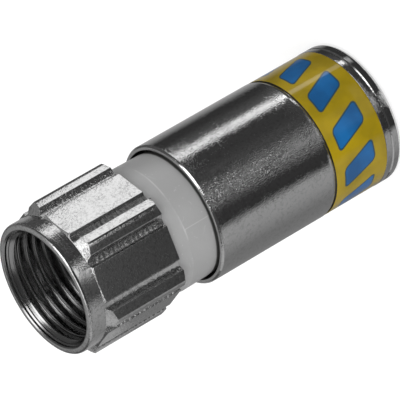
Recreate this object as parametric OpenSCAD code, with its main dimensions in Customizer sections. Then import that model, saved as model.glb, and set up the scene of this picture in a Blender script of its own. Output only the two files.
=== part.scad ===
// Coaxial cable connector of the cable-side compression kind, 3/8-32 thread, sleeve not yet pressed.
// It stands on the sleeve's rear face: +Z runs along the axis to the mouth of the coupling nut.

/* [Coupling nut] */
// Distance across the wide flats
nut_flats = 11.0; // [10.8:0.02:11.2]
// Diameter over the blunted corner tips
nut_tips_d = 12.57; // [12.3:0.01:12.9]
// Length from the rear face to the mouth
nut_len = 8.55; // [8:0.05:10]
// Diameter of the round collar at the mouth
collar_d = 10.84; // [10.6:0.02:10.96]
// Length of the round collar
collar_len = 1.44; // [1:0.02:2]
// Rounding of the collar's front edge
collar_round = 0.25; // [0.1:0.01:0.4]
// Slope of the corners' front ends, from the axis, in degrees
front_slope = 60; // [45:1:75]
// Height of the chamfer at the corners' rear ends
rear_chamfer = 0.19; // [0.05:0.01:0.4]
// Width of each wide flat
flat_w = 2.78; // [2.5:0.02:2.9]
// Width of the long grooves, where they open
groove_w = 0.87; // [0.75:0.01:0.95]
// Depth of the long grooves
groove_depth = 0.33; // [0.1:0.01:0.45]
// Width of the grooves' flat floor
groove_floor_w = 0.45; // [0.2:0.01:0.5]
// Step from a wide flat's edge to the groove's floor
groove_step = 0.125; // [0.05:0.005:0.2]

/* [Threaded mouth] */
// Major diameter of the thread
thread_d = 9.525; // [9.4:0.005:9.6]
// Depth of the threaded stretch, from the mouth
thread_len = 5.4; // [4.5:0.05:5.6]
// Width of the mouth's chamfer
mouth_chamfer_w = 0.1; // [0.05:0.01:0.2]
// Height of the mouth's chamfer
mouth_chamfer_h = 0.15; // [0.05:0.01:0.3]
// Depth of the relief behind the thread
relief_depth = 0.19; // [0.1:0.01:0.24]

/* [Nut bearing] */
// Thickness of the lip that holds the nut on the post
lip_thick = 0.8; // [0.6:0.05:1]
// Radial running clearance of the nut on the hub
nut_clearance = 0.06; // [0.02:0.01:0.1]
// End play of the nut at each of its two faces
nut_play = 0.12; // [0.05:0.01:0.2]
// Diameter of the seal ring's section
ring_section_d = 0.84; // [0.7:0.02:0.9]
// Room round the seal ring in its recess
ring_side_gap = 0.15; // [0.1:0.01:0.2]
// Room left in front of the seal ring
ring_end_gap = 0.07; // [0.05:0.01:0.1]

/* [Inner post] */
// Bore for the cable's dielectric
post_bore_d = 4.84; // [4.6:0.02:4.9]
// Wall of the long tube
tube_wall = 0.36; // [0.28:0.01:0.42]
// Outer diameter where the body grips the post
post_seat_d = 5.8; // [5.72:0.02:6]
// Height of the biting rings above the seat
bite_rise = 0.1; // [0.05:0.01:0.2]
// Number of biting rings
bites = 2; // [1:1:3]
// Height of each biting ring
bite_h = 0.3; // [0.1:0.05:0.5]
// Pitch of the biting rings
bite_pitch = 0.9; // [0.6:0.05:1]
// Overhang of the flange over the hub, which holds the nut's lip
flange_overhang = 0.6; // [0.3:0.05:0.7]
// Thickness of the flange
flange_thick = 0.9; // [0.6:0.05:1.1]
// Height of the barb above the long tube
barb_rise = 0.37; // [0.2:0.01:0.5]
// Length of the barb's slope
barb_len = 1.3; // [0.8:0.05:1.8]
// Wall left at the rear tip
tip_wall = 0.15; // [0.1:0.01:0.25]
// Distance from the body's rear end in to the tip
post_setback = 0.5; // [0.2:0.05:1.5]

/* [Clamp body] */
// Wall of the hub that the nut turns on
hub_wall = 0.7; // [0.6:0.02:0.75]
// Radial gap between the sleeve's bore and the first ring behind the nut
front_gap = 0.28; // [0.2:0.01:0.45]
// Length of the first ring behind the nut
body_front_len = 0.42; // [0.3:0.02:0.6]
// Radial gap at the soft crease, the body's widest place
crease_gap = 0.14; // [0.1:0.01:0.2]
// Distance from the shoulder to the crease
crease_from_shoulder = 1.28; // [1:0.02:1.6]
// Radial gap where the body enters the sleeve
neck_gap = 0.22; // [0.2:0.01:0.3]
// Radial gap along the stretch inside the sleeve
body_gap = 0.3; // [0.25:0.01:0.45]
// Rounding of the shoulder's edge
shoulder_round = 0.14; // [0.05:0.01:0.25]
// Bore for the folded braid and the cable's jacket
cavity_d = 8.1; // [7.8:0.05:8.2]
// Thickness of the web between shoulder and cavity
web_thick = 3.3; // [3:0.1:4]
// Chamfer at the cavity's floor
cavity_chamfer = 0.6; // [0.2:0.05:0.8]
// Wall of the collet's thin end
collet_end_wall = 0.3; // [0.25:0.01:0.45]
// Number of gripping teeth inside the collet
teeth = 4; // [2:1:6]
// Pitch of the gripping teeth
tooth_pitch = 0.55; // [0.4:0.05:0.6]
// Depth of the gripping teeth
tooth_depth = 0.16; // [0.05:0.01:0.3]
// Length of a tooth's steep side
tooth_steep = 0.16; // [0.1:0.01:0.3]
// Distance from the sleeve's front edge in to the guide rib
rib_inset = 1.8; // [1.2:0.1:2.5]
// Width of the guide rib
rib_w = 0.5; // [0.3:0.05:0.8]
// Width of each slope of the guide rib
rib_slope_w = 0.1; // [0.05:0.01:0.14]

/* [Compression sleeve] */
// Outer diameter
sleeve_d = 11.62; // [11.5:0.02:11.9]
// Length
sleeve_len = 18.02; // [17:0.1:20]
// Wall round the body
sleeve_wall = 0.41; // [0.35:0.01:0.5]
// Rounding of the front outer edge
front_round = 0.12; // [0.05:0.01:0.15]
// Chamfer of the front inner edge
front_chamfer = 0.06; // [0.03:0.01:0.1]
// Hole for the cable
cable_hole_d = 8.2; // [8:0.05:8.4]
// Chamfer of the cable hole
hole_chamfer = 0.3; // [0.1:0.02:0.5]
// Length of the straight cable hole
hole_len = 4.2; // [3:0.1:5]
// Length of the ramp that squeezes the collet
ramp_len = 3.2; // [2.5:0.1:4]
// Rounding of the rear rim
rim_round = 0.4; // [0.2:0.02:0.6]
// Distance from the rear face to the thin ring groove
ring_groove_z = 0.93; // [0.7:0.01:1]
// Width of the thin ring groove
ring_groove_w = 0.12; // [0.08:0.01:0.2]
// Depth of the thin ring groove
ring_groove_depth = 0.1; // [0.05:0.01:0.15]

/* [Colour band] */
// Distance from the rear face to the band
band_z = 1.54; // [1.3:0.02:2]
// Length of the band
band_len = 5.12; // [4:0.02:6]
// Depth of the seat that the band lies in
band_seat_depth = 0.14; // [0.1:0.01:0.2]
// Step from the sleeve's surface down to the band
band_step = 0.02; // [0:0.01:0.05]
// Length of the bevel in front of the band
bevel_len = 0.29; // [0.1:0.01:0.4]

/* [Assembly] */
// Body length that shows between sleeve and nut
exposed_len = 3.83; // [3:0.01:4.2]
// Gap left between sleeve and nut when pressed home
press_stop_gap = 0.43; // [0.3:0.01:0.8]
// Radial gap between ramp and collet when pressed home
squeeze_gap = 0.06; // [0.03:0.01:0.1]
// Radial running clearance of the guide rib
rib_clearance = 0.05; // [0.02:0.01:0.1]
// Gap at pieces that lie against each other
touch = 0.01; // [0.005:0.005:0.02]

/* [Hidden] */
$fn = 96;
arc_steps = 5;
section_sides = 32;
sides = 6;
past = 1;

nickel = [0.74, 0.73, 0.70];
acetal = [0.86, 0.86, 0.83];
seal_black = [0.10, 0.10, 0.11];
band_yellow = [0.78, 0.64, 0.08];

post_tube_d = post_bore_d + 2 * tube_wall;
barb_d = post_tube_d + 2 * barb_rise;
bite_d = post_seat_d + 2 * bite_rise;
hub_d = post_seat_d + 2 * hub_wall;
flange_d = hub_d + 2 * flange_overhang;
lip_bore_d = hub_d + 2 * nut_clearance;
seal_seat_d = hub_d + 2 * (touch + ring_section_d + ring_side_gap);
mouth_d = thread_d + 2 * mouth_chamfer_w;
relief_d = thread_d + 2 * relief_depth;

sleeve_bore_d = sleeve_d - 2 * sleeve_wall;
body_front_d = sleeve_bore_d - 2 * front_gap;
crease_d = sleeve_bore_d - 2 * crease_gap;
body_neck_d = sleeve_bore_d - 2 * neck_gap;
body_d = sleeve_bore_d - 2 * body_gap;
collet_end_d = cavity_d + 2 * collet_end_wall;

nut_base_z = sleeve_len + exposed_len;
mouth_z = nut_base_z + nut_len;
collar_z = mouth_z - collar_len;
shoulder_z = nut_base_z - nut_play;
lip_rear_z = shoulder_z + touch + ring_section_d + ring_end_gap;
lip_front_z = lip_rear_z + lip_thick;
flange_z = lip_front_z + nut_play;
flange_top_z = flange_z + flange_thick;

press_travel = exposed_len - press_stop_gap;
ramp_top_z = hole_len + ramp_len;
ramp_slope = (sleeve_bore_d - cable_hole_d) / 2 / ramp_len;
// Height, in the body at rest, where the pressed-home ramp leaves room for a collet of diameter d
function collet_z(d) = hole_len + press_travel + (d / 2 + squeeze_gap - cable_hole_d / 2) / ramp_slope;
body_end_z = collet_z(collet_end_d);
taper_top_z = collet_z(body_d);
cavity_floor_z = shoulder_z - web_thick;
post_tip_z = body_end_z + post_setback;
rib_z = sleeve_len - rib_inset;

// Points of a quarter round about [x, z], from angle a0 to a1
function arc(x, z, r, a0, a1) =
    [for (i = [0:arc_steps]) let (a = a0 + (a1 - a0) * i / arc_steps) [x + r * cos(a), z + r * sin(a)]];

// Section of one sixth of the nut's bar, seen from the mouth: a flat with a groove at each side
groove_near = flat_w / 2 + groove_step;
groove_far = groove_near + groove_floor_w;
groove_edge = flat_w / 2 + groove_w;
function side_points(a) =
    let (
        f = nut_flats / 2,
        half = [[f, flat_w / 2], [f - groove_depth, groove_near], [f - groove_depth, groove_far], [f, groove_edge]],
        corner = [f, f * tan(180 / sides)],
        lower = [for (i = [3:-1:0]) [half[i][0], -half[i][1]]]
    )
    [for (p = concat(lower, half, [corner])) [p[0] * cos(a) - p[1] * sin(a), p[0] * sin(a) + p[1] * cos(a)]];

module nut_bar() {
    linear_extrude(collar_z + collar_len / 2 - nut_base_z)
        polygon([for (k = [0:sides - 1]) each side_points(k * 360 / sides)]);
}

// Round envelope that blunts the corners and slopes their two ends
module nut_envelope() {
    tip_r = nut_tips_d / 2;
    collar_r = collar_d / 2;
    slope_h = (tip_r - collar_r) / tan(front_slope);
    rotate_extrude()
        polygon([
            [0, 0],
            [tip_r - rear_chamfer * tan(front_slope), 0],
            [tip_r, rear_chamfer],
            [tip_r, collar_z - nut_base_z - slope_h],
            [collar_r, collar_z - nut_base_z],
            [0, collar_z - nut_base_z]
        ]);
}

module nut_collar() {
    r = collar_d / 2;
    rotate_extrude()
        polygon(concat(
            [[0, collar_z - nut_base_z - collar_len / 2], [r, collar_z - nut_base_z - collar_len / 2]],
            arc(r - collar_round, nut_len - collar_round, collar_round, 0, 90),
            [[0, nut_len]]
        ));
}

module nut_inside() {
    seat_h = lip_rear_z - nut_base_z;
    rotate_extrude()
        polygon([
            [0, -past],
            [seal_seat_d / 2, -past],
            [seal_seat_d / 2, seat_h],
            [lip_bore_d / 2, seat_h],
            [lip_bore_d / 2, seat_h + lip_thick],
            [relief_d / 2, seat_h + lip_thick],
            [relief_d / 2, nut_len - thread_len - relief_depth],
            [thread_d / 2, nut_len - thread_len],
            [thread_d / 2, nut_len - mouth_chamfer_h],
            [mouth_d / 2, nut_len],
            [mouth_d / 2, nut_len + past],
            [0, nut_len + past]
        ]);
}

module coupling_nut() {
    color(nickel)
        translate([0, 0, nut_base_z])
            difference() {
                union() {
                    intersection() {
                        nut_bar();
                        nut_envelope();
                    }
                    nut_collar();
                }
                nut_inside();
            }
}

module seal_ring() {
    r = ring_section_d / 2;
    color(seal_black)
        translate([0, 0, shoulder_z + r + touch])
            rotate_extrude()
                translate([hub_d / 2 + r + touch, 0])
                    circle(r = r, $fn = section_sides);
}

module inner_post() {
    bore_r = post_bore_d / 2;
    tube_r = post_tube_d / 2;
    seat_r = post_seat_d / 2;
    barb_r = barb_d / 2;
    color(nickel)
        rotate_extrude()
            polygon(concat(
                [
                    [bore_r, post_tip_z],
                    [bore_r + tip_wall, post_tip_z],
                    [barb_r, post_tip_z + barb_len],
                    [barb_r, post_tip_z + barb_len + tip_wall],
                    [tube_r, post_tip_z + barb_len + 2 * tip_wall],
                    [tube_r, cavity_floor_z],
                    [seat_r, cavity_floor_z]
                ],
                [for (i = [1:bites]) let (z = cavity_floor_z + i * bite_pitch)
                    each [[seat_r, z - bite_h], [bite_d / 2, z], [seat_r, z]]],
                [
                    [seat_r, flange_z],
                    [flange_d / 2, flange_z],
                    [flange_d / 2, flange_top_z - tip_wall],
                    [flange_d / 2 - tip_wall, flange_top_z],
                    [bore_r + tip_wall, flange_top_z],
                    [bore_r, flange_top_z - tip_wall]
                ]
            ));
}

module clamp_body() {
    front_r = body_front_d / 2;
    cavity_r = cavity_d / 2;
    rib_r = sleeve_bore_d / 2 - rib_clearance;
    color(acetal)
        rotate_extrude()
            polygon(concat(
                [[collet_end_d / 2, body_end_z], [body_d / 2, taper_top_z]],
                [
                    [body_d / 2, rib_z - rib_w],
                    [rib_r, rib_z - rib_w + rib_slope_w],
                    [rib_r, rib_z - rib_slope_w],
                    [body_d / 2, rib_z],
                    [body_neck_d / 2, sleeve_len],
                    [crease_d / 2, shoulder_z - crease_from_shoulder],
                    [front_r, shoulder_z - body_front_len]
                ],
                arc(front_r - shoulder_round, shoulder_z - shoulder_round, shoulder_round, 0, 90),
                [
                    [hub_d / 2, shoulder_z],
                    [hub_d / 2, flange_z],
                    [post_seat_d / 2, flange_z],
                    [post_seat_d / 2, cavity_floor_z],
                    [cavity_r - cavity_chamfer, cavity_floor_z],
                    [cavity_r, cavity_floor_z - cavity_chamfer]
                ],
                [for (i = [teeth:-1:1]) let (z = body_end_z + i * tooth_pitch)
                    each [[cavity_r, z + tooth_steep], [cavity_r - tooth_depth, z], [cavity_r, z + tooth_steep - tooth_pitch]]],
                [[cavity_r, body_end_z]]
            ));
}

module compression_sleeve() {
    r = sleeve_d / 2;
    seat_r = r - band_seat_depth;
    bore_r = sleeve_bore_d / 2;
    hole_r = cable_hole_d / 2;
    band_top_z = band_z + band_len;
    groove_mid_z = ring_groove_z + ring_groove_w / 2;
    color(nickel)
        rotate_extrude()
            polygon(concat(
                [[hole_r, hole_chamfer], [hole_r + hole_chamfer, 0]],
                arc(r - rim_round, rim_round, rim_round, -90, 0),
                [
                    [r, ring_groove_z],
                    [r - ring_groove_depth, groove_mid_z],
                    [r, ring_groove_z + ring_groove_w],
                    [r, band_z],
                    [seat_r, band_z],
                    [seat_r, band_top_z],
                    [r, band_top_z + bevel_len]
                ],
                arc(r - front_round, sleeve_len - front_round, front_round, 0, 90),
                [
                    [bore_r + front_chamfer, sleeve_len],
                    [bore_r, sleeve_len - front_chamfer],
                    [bore_r, ramp_top_z],
                    [hole_r, hole_len]
                ]
            ));
}

module sleeve_band() {
    outer_r = sleeve_d / 2 - band_step;
    inner_r = sleeve_d / 2 - band_seat_depth + touch;
    color(band_yellow)
        translate([0, 0, band_z + touch])
            difference() {
                cylinder(h = band_len - 2 * touch, r = outer_r);
                translate([0, 0, -past])
                    cylinder(h = band_len + 2 * past, r = inner_r);
            }
}

coupling_nut();
seal_ring();
inner_post();
clamp_body();
compression_sleeve();
sleeve_band();
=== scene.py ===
# %% [markdown]
# # A compression connector for coaxial cable, dressed for a studio picture
# The connector is small: a nut that takes a spanner, a plastic body and a long plated sleeve with a
# coloured band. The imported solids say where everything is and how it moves, so they come first and are
# never moved or resized. Each piece that shows is then built again with finer edges, and rides on the body
# that its solid belongs to.

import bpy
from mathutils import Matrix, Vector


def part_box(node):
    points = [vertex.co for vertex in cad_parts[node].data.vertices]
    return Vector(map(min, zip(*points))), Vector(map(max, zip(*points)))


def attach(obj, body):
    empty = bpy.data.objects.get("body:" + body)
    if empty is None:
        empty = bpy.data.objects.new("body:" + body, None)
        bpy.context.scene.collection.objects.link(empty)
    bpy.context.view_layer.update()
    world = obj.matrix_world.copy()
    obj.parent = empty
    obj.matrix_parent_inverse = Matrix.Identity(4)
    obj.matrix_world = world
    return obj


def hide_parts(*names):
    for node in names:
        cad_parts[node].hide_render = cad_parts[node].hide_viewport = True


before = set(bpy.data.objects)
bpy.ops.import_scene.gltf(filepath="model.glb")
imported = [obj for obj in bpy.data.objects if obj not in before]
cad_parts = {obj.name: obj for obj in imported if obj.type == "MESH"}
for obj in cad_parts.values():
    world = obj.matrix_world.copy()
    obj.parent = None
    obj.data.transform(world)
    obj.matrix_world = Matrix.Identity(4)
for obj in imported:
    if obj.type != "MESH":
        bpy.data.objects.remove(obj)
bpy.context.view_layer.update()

# %% [markdown]
# ## Sizes
# Blender works in metres, and a connector is easier to think of in millimetres, so every length below is
# written in millimetres and multiplied by `MM` once, where a mesh is made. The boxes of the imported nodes
# give the lengths and outer radii. Only what a box can't tell, such as the width of a groove, is written as
# a number of its own.

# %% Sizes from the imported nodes
from math import acos, atan2, cos, hypot, pi, radians, sin, sqrt, tan
from random import Random

import bmesh
import bpy
from mathutils import Matrix, Vector

MM = 0.001


def reach(node):
    """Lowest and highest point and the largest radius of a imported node, in millimetres."""
    low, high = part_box(node)
    return low.z / MM, high.z / MM, max(high.x, high.y) / MM


nut_base, mouth_z, nut_tip_r = reach("coupling_nut")
flat_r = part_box("coupling_nut")[1].x / MM
sleeve_rear, sleeve_front, sleeve_r = reach("compression_sleeve")
band_low, band_high, band_r = reach("sleeve_band")
body_end, hub_top, rib_r = reach("clamp_body")
print(f"nut {nut_base:.2f} to {mouth_z:.2f}, {2 * flat_r:.2f} across flats; sleeve radius {sleeve_r:.2f}")

# %% [markdown]
# ## The camera
# The picture is taken from above the mouth of the nut, nearly square to the axis, with a long lens. The
# first four values describe that: how far the camera is, how much the view leans towards the axis, which
# way round it stands and how far it is rolled. Two unit vectors across and along the view then give the
# camera's whole matrix. An empty with a Track To constraint could aim the camera too, but it would not give
# the roll by itself.

# %% Aim the camera
camera_distance = 331.316
camera_lean = radians(61.737)
camera_azimuth = radians(-41.52)
camera_roll = radians(30.119)
aim_along, aim_across = 13.266, -0.030
lens_mm, sensor_mm = 404.02, 36
nearest_seen, farthest_seen = 50, 20000


def place(name, data):
    """Makes an object of a mesh, lamp or camera and puts it into the scene."""
    item = bpy.data.objects.new(name, data)
    bpy.context.collection.objects.link(item)
    return item


toward = Vector((cos(camera_azimuth), sin(camera_azimuth), 0))
aside = Vector((-sin(camera_azimuth), cos(camera_azimuth), 0))
down = Vector((0, 0, -1))
look = cos(camera_lean) * down - sin(camera_lean) * toward
along = sin(camera_lean) * down + cos(camera_lean) * toward
right = cos(camera_roll) * along - sin(camera_roll) * aside
up = sin(camera_roll) * along + cos(camera_roll) * aside
eye = Vector((0, 0, mouth_z)) + aim_along * along + aim_across * aside - camera_distance * look

camera = place("camera", bpy.data.cameras.new("camera"))
camera.data.lens = lens_mm
camera.data.sensor_width = sensor_mm
camera.data.clip_start, camera.data.clip_end = nearest_seen * MM, farthest_seen * MM
camera.matrix_world = Matrix.Translation(eye * MM) @ Matrix((right, up, -look)).transposed().to_4x4()
bpy.context.scene.camera = camera
print("camera at", [round(x) for x in eye], "mm")

# %% [markdown]
# ## Small helpers for node trees
# Every material below is a network of nodes. `add` makes a node and sets or links its sockets: a socket
# given as a value is set, and one given as another node's output is linked. A formula would need one Math
# node for every sign, so a `Signal` wraps an output and adds those nodes by itself: `a * b + c` is then
# written as the formula that it is.

# %% Signals


class Signal:
    """An output of a node. Signs between signals and numbers add Math nodes to its tree."""

    def __init__(self, socket):
        self.socket, self.tree = socket, socket.id_data

    def __add__(self, other):
        return calc("ADD", self, other)

    def __sub__(self, other):
        return calc("SUBTRACT", self, other)

    def __rsub__(self, other):
        return calc("SUBTRACT", other, self)

    def __mul__(self, other):
        return calc("MULTIPLY", self, other)

    def __truediv__(self, other):
        return calc("DIVIDE", self, other)

    def __rtruediv__(self, other):
        return calc("DIVIDE", other, self)

    def __abs__(self):
        return calc("ABSOLUTE", self)


print("a signal knows the signs", "+ - * / abs")

# %% Make and feed a node


def feed(node, sockets):
    """Sets the sockets of a node that are given as values, and links those given as signals."""
    for name, value in sockets.items():
        if isinstance(value, Signal):
            value.tree.links.new(value.socket, node.inputs[name])
        else:
            node.inputs[name].default_value = value


def add(tree, kind, sockets=None, **settings):
    """Adds a node, sets its settings and feeds its sockets."""
    node = tree.nodes.new(kind)
    for name, value in settings.items():
        setattr(node, name, value)
    feed(node, sockets or {})
    return node


def wire(tree, kind, sockets=None, which=0, **settings):
    """Adds a node and returns one of its outputs as a signal."""
    return Signal(add(tree, kind, sockets, **settings).outputs[which])


def calc(operation, first, second=0.0):
    """One Math node, for the signs and for what has no sign, such as MAXIMUM."""
    tree = (first if isinstance(first, Signal) else second).tree
    return wire(tree, "ShaderNodeMath", {0: first, 1: second}, operation=operation)


print("helpers: feed, add, wire, calc")

# %% Ranges, colours, noise and attributes


def spread(value, low, high, to_low=0.0, to_high=1.0, smooth=True):
    """Maps a signal from low..high to to_low..to_high, with soft or straight ends."""
    sockets = {"Value": value, "From Min": low, "From Max": high, "To Min": to_low, "To Max": to_high}
    kind = "SMOOTHSTEP" if smooth else "LINEAR"
    return wire(value.tree, "ShaderNodeMapRange", sockets, "Result", interpolation_type=kind)


def blend_colour(share, first, second):
    """Mixes two colours by a share from 0 to 1."""
    return wire(share.tree, "ShaderNodeMix", {0: share, 6: first, 7: second}, 2, data_type="RGBA")


def noise(point, scale, detail=2.0, roughness=0.5):
    """The value of a noise texture at a point."""
    sockets = {"Vector": point, "Scale": scale, "Detail": detail, "Roughness": roughness}
    return wire(point.tree, "ShaderNodeTexNoise", sockets, "Fac")


def attribute(tree, name):
    """A number that the mesh carries at each of its points."""
    return wire(tree, "ShaderNodeAttribute", None, "Fac", attribute_name=name)


print("helpers: spread, blend_colour, noise, attribute")

# %% Places round the axis


def split(point):
    """The three parts of a point."""
    parts = add(point.tree, "ShaderNodeSeparateXYZ", {0: point})
    return [Signal(parts.outputs[i]) for i in range(3)]


def length(x, y):
    """Length of a flat vector from its two parts."""
    flat_way = wire(x.tree, "ShaderNodeCombineXYZ", {0: x, 1: y})
    return wire(x.tree, "ShaderNodeVectorMath", {0: flat_way}, "Value", operation="LENGTH")


def radius_of(point):
    """Distance of a point from the axis."""
    x, y, z = split(point)
    return length(x, y)


def angle_of(point):
    """Angle of a point round the axis."""
    x, y, z = split(point)
    return calc("ARCTAN2", y, x)


print("helpers: split, length, radius_of, angle_of")

# %% Node groups


def new_group(name, inputs, outputs, kind="ShaderNodeTree"):
    """An empty node group with named sockets, with its inputs as signals by name and its output node."""
    group = bpy.data.node_groups.new(name, kind)
    for label, socket_type, value in inputs:
        socket = group.interface.new_socket(label, in_out="INPUT", socket_type=socket_type)
        if value is not None:
            socket.default_value = value
    for label, socket_type in outputs:
        group.interface.new_socket(label, in_out="OUTPUT", socket_type=socket_type)
    source, result = group.nodes.new("NodeGroupInput"), group.nodes.new("NodeGroupOutput")
    given = {label: Signal(source.outputs[label]) for label, socket_type, value in inputs}
    print("group:", name)
    return group, given, result


def place_group(group, sockets):
    """Puts a shader group into the tree of its Vector, and returns its outputs as signals by name."""
    node = add(sockets["Vector"].tree, "ShaderNodeGroup", sockets, node_tree=group)
    return {socket.name: Signal(socket) for socket in node.outputs}


print("helpers: new_group, place_group")

# %% [markdown]
# ## Effects that several materials share
# Plated brass is never a perfect mirror. Under the lens it shows a fine pebbled grain from tumbling and
# plating, rings left by the lathe, and scratches and specks from handling. Each effect is a shader group
# with named inputs, so that nut, sleeve, post, plastic and film use the same group with their own values. A
# painted image could hold the same detail, but a group stays sharp at any distance and needs no unwrapping.
# The grain folds a noise about its middle value, which turns soft hills into pebbles with creases between
# them. The rings follow the height and the radius together, so that flat faces get them too. A scratch is
# the thin line where a broad noise crosses its middle value, and a second noise breaks it up.

# %% Pebbled plating grain
FLOAT, VECTOR = "NodeSocketFloat", "NodeSocketVector"
patch_scale, pit_scale = 0.11, 0.55
grain, given, result = new_group(
    "plating_grain",
    [("Vector", VECTOR, None), ("Pebble", FLOAT, 0.2)],
    [("Height", FLOAT), ("Patch", FLOAT), ("Pits", FLOAT)],
)
spot = given["Vector"]
per_metre = 1 / MM / given["Pebble"]
creased = abs(noise(spot, per_metre, 0.3) - 0.5) * 4.0
patch = spread(noise(spot, per_metre * patch_scale), 0.35, 0.65)
pits = spread(noise(spot, per_metre * pit_scale, 3.0, 0.7), 0.48, 0.66)
feed(result, {"Height": creased * (patch * 0.7 + 0.6), "Patch": patch, "Pits": pits})

# %% Rings left by the lathe
rings, given, result = new_group(
    "lathe_rings", [("Vector", VECTOR, None), ("Pitch", FLOAT, 0.06)], [("Height", FLOAT)]
)
face_share = 0.83
x, y, z = split(given["Vector"])
turns = (z + length(x, y) * face_share) / MM / given["Pitch"]
uneven = {"W": turns, "Scale": 1.0, "Detail": 3.0}
feed(result, {"Height": wire(rings, "ShaderNodeTexNoise", uneven, "Fac", noise_dimensions="1D")})

# %% Scratches and specks from handling
handling, given, result = new_group(
    "handling_marks",
    [("Vector", VECTOR, None), ("Speck size", FLOAT, 0.35), ("Scratch size", FLOAT, 2.5)],
    [("Specks", FLOAT), ("Scratches", FLOAT)],
)
breaks_scale = 2.3
spot = given["Vector"]
cells = add(handling, "ShaderNodeTexVoronoi", {"Vector": spot, "Scale": 1 / MM / given["Speck size"]})
chosen = wire(handling, "ShaderNodeSeparateColor", {0: Signal(cells.outputs["Color"])})
dot = spread(Signal(cells.outputs["Distance"]), 0.10, 0.22, 1.0, 0.0)
scratch_scale = 1 / MM / given["Scratch size"]
line = spread(abs(noise(spot, scratch_scale, 1.0) - 0.5), 0.0, 0.006, 1.0, 0.0)
broken = spread(noise(spot, scratch_scale * breaks_scale, 0.0), 0.60, 0.66)
feed(result, {"Specks": spread(chosen, 0.86, 0.90) * dot, "Scratches": line * broken})

# %% [markdown]
# ## The nickel finishes
# The nut, the sleeve and the post are the same plated brass, but they are made differently. The sleeve is
# turned and tumbled, so it has an even pebbled grain, which is coarser along one side. The nut's sides are
# milled and its collar is turned; its bore is duller and has no grain or scratches, and its colour is painted
# darker, as shade for the light that reaches it less well. The post is smooth. One function makes all three:
# it lays the shared effects over a Principled BSDF, and its arguments say how strong each one is. Bump nodes
# are used instead of real relief, because the marks are only microns deep.

# %% Make a nickel
nickel_colour, nickel_shade = (0.585, 0.585, 0.585, 1), (0.39, 0.39, 0.39, 1)
# The bore's colour is a painted shade: a darker nickel that stands for the light that reaches inside the nut
# less well.
bore_painted_shade, bore_softer = (0.355, 0.355, 0.355, 1), 0.09
coarse_from, coarse_to, coarse_gain = radians(6), radians(16), 3.4
patch_tone, speck_tone = 0.06, 0.5
patch_softer, scratch_softer = 0.04, 0.12
speck_deep, bore_edge = 0.004, 0.1


def new_material(name):
    """A material, its Principled BSDF, and Object coordinates as a signal."""
    material = bpy.data.materials.new(name)
    material.use_nodes = True
    tree = material.node_tree
    print("material:", name)
    return material, tree.nodes["Principled BSDF"], wire(tree, "ShaderNodeTexCoord", None, "Object")


def set_height(shader, height, unit=1.0, strength=1.0):
    """Feeds a height, in units of so many millimetres, to a shader's normal through a Bump node."""
    sockets = {"Strength": strength, "Distance": unit * MM, "Height": height}
    feed(shader, {"Normal": wire(height.tree, "ShaderNodeBump", sockets)})


def nickel(
    name, pebble, grain_depth, ring_pitch, ring_depth, rough,
    mottle=0.1, inner_r=0.0, rings_on=None, marks=None, coarse_at=None,
):
    """Plated brass, with sizes in millimetres. Inside inner_r it is duller and without grain, and its colour
    is painted darker as shade. Rings may be kept to an attribute, marks add height, and the grain is coarser
    round the angle coarse_at."""
    material, shader, where = new_material(name)
    grit = place_group(grain, {"Vector": where, "Pebble": pebble})
    lines = place_group(rings, {"Vector": where, "Pitch": ring_pitch})
    worn = place_group(handling, {"Vector": where})
    tone = grit["Patch"] * patch_tone + grit["Pits"] * mottle + worn["Specks"] * speck_tone
    plated = blend_colour(tone, nickel_colour, nickel_shade)
    softer = worn["Scratches"] * scratch_softer
    height = grit["Height"] * grain_depth
    if inner_r:
        outer_only = spread(radius_of(where), inner_r * MM, (inner_r + bore_edge) * MM)
        # Painted shade: inside inner_r the colour goes over to the darker bore nickel.
        plated = blend_colour(outer_only, bore_painted_shade, plated)
        softer = softer * outer_only + spread(outer_only, 0, 1, bore_softer, 0.0)
        height = height * outer_only
    if coarse_at is not None:
        off = abs(angle_of(where) - coarse_at)
        height = height * spread(off, coarse_from, coarse_to, coarse_gain, 1.0)
    ring_height = lines["Height"] * ring_depth
    if rings_on:
        ring_height = ring_height * attribute(where.tree, rings_on)
    height = height + ring_height - worn["Specks"] * speck_deep
    if marks:
        height = height + marks(where)
    roughness = grit["Patch"] * patch_softer + softer + rough
    feed(shader, {"Metallic": 1.0, "Base Color": plated, "Roughness": roughness})
    set_height(shader, height)
    return material


coarse_side = camera_azimuth + radians(-1)
sleeve_nickel = nickel(
    "sleeve_nickel", pebble=0.15, grain_depth=0.0038, ring_pitch=0.05, ring_depth=0.0003, rough=0.04,
    mottle=0.35, coarse_at=coarse_side,
)
post_nickel = nickel(
    "post_nickel", pebble=0.15, grain_depth=0.003, ring_pitch=0.08, ring_depth=0.001, rough=0.16
)

# %% [markdown]
# ## Cutter marks in the nut's grooves
# The long grooves are cut by a tool that steps along them. It leaves deep nicks, which the mesh of the nut
# has, and between them fine cross-lines, which are made here. The mesh carries a `groove` attribute that
# says how strongly the cutter has marked each point, so the lines stay where it has been. A wave along the
# axis, broken up by noise, gives the lines, and they are rougher at the rear end, where the cutter leaves
# the metal with a burr.

# %% Cutter marks
chatter_pitch, chatter_depth = 0.16, 0.010
burr_low, burr_high, burr_gain = 0.2, 0.5, 3.5


def cutter_marks(where):
    """Height of the cross-lines in the grooves, in millimetres."""
    z = split(where)[2] / MM
    steps = z / chatter_pitch + noise(where, 900.0, 1.0) * 1.1
    saw = abs(calc("FRACT", steps) - 0.5)
    fine = noise(where, 6500.0)
    ragged = saw * spread(fine, 0.35, 0.6, 0.2, 1.8, smooth=False) + fine * 1.6
    burr = spread(z, nut_base + burr_low, nut_base + burr_high, burr_gain, 1.0)
    return ragged * attribute(where.tree, "groove") * burr * chatter_depth


nut_nickel = nickel(
    "nut_nickel", pebble=0.13, grain_depth=0.0042, ring_pitch=0.15, ring_depth=0.0080, rough=0.08,
    mottle=0.65, inner_r=4.90, rings_on="turned", marks=cutter_marks,
)
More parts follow.
